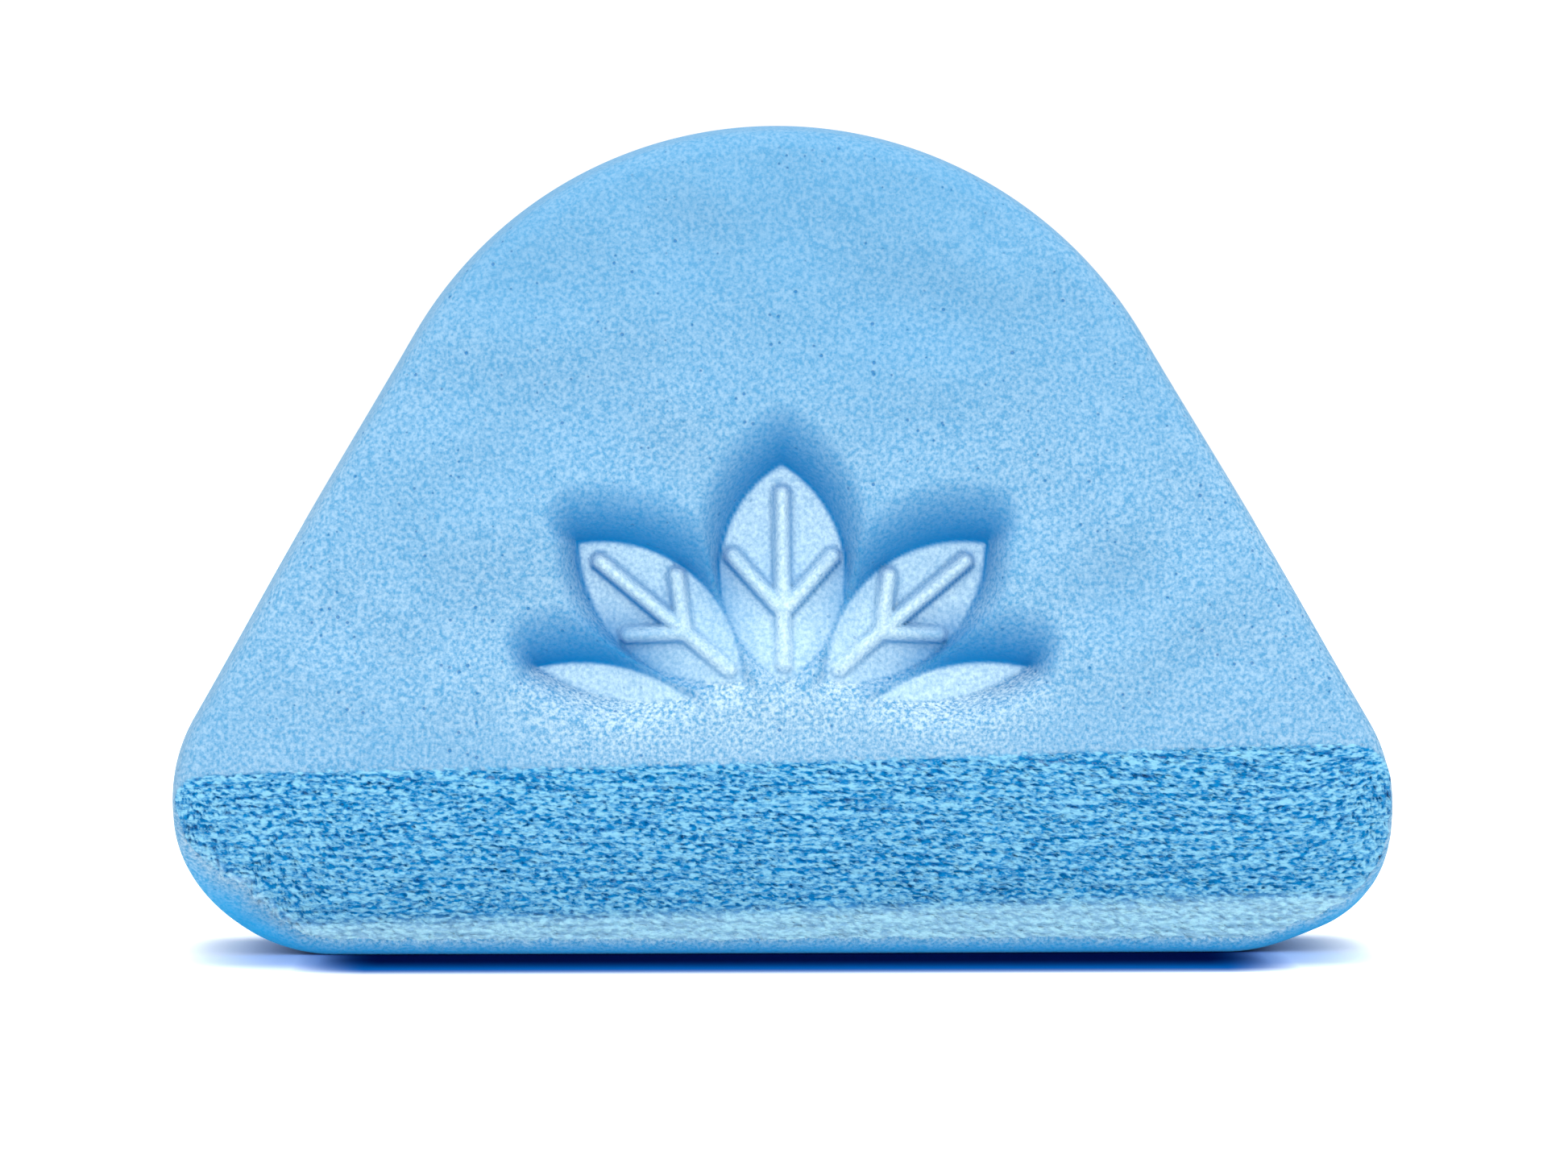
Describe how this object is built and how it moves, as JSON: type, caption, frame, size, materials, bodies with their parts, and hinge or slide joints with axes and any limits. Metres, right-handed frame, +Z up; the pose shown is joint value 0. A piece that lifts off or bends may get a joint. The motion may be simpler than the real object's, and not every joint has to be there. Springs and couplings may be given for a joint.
{
  "type": "foam sponge block",
  "caption": "Rounded-triangle block of fine-celled foam that stands on its straight side, with a bevelled lower edge and a sprig pressed into its face.",
  "frame": {"origin": "on the resting surface, below the middle of the block's width and depth", "axes": "+Z up, as the block stands on its straight side; +X across the pressed face, to the right of someone looking at it; -Y out of the pressed face"},
  "size_m": [0.06, 0.02, 0.041],
  "materials": {
    "cut_foam": "open-celled soft foam, matte and rough where it is cut",
    "foam_skin": "closed soft foam skin, matte, with a fine grain"
  },
  "bodies": {
    "root": {"foam_core": "cut_foam", "front_skin": "foam_skin", "side_skin": "foam_skin", "back_skin": "foam_skin"}
  },
  "joints": []
}
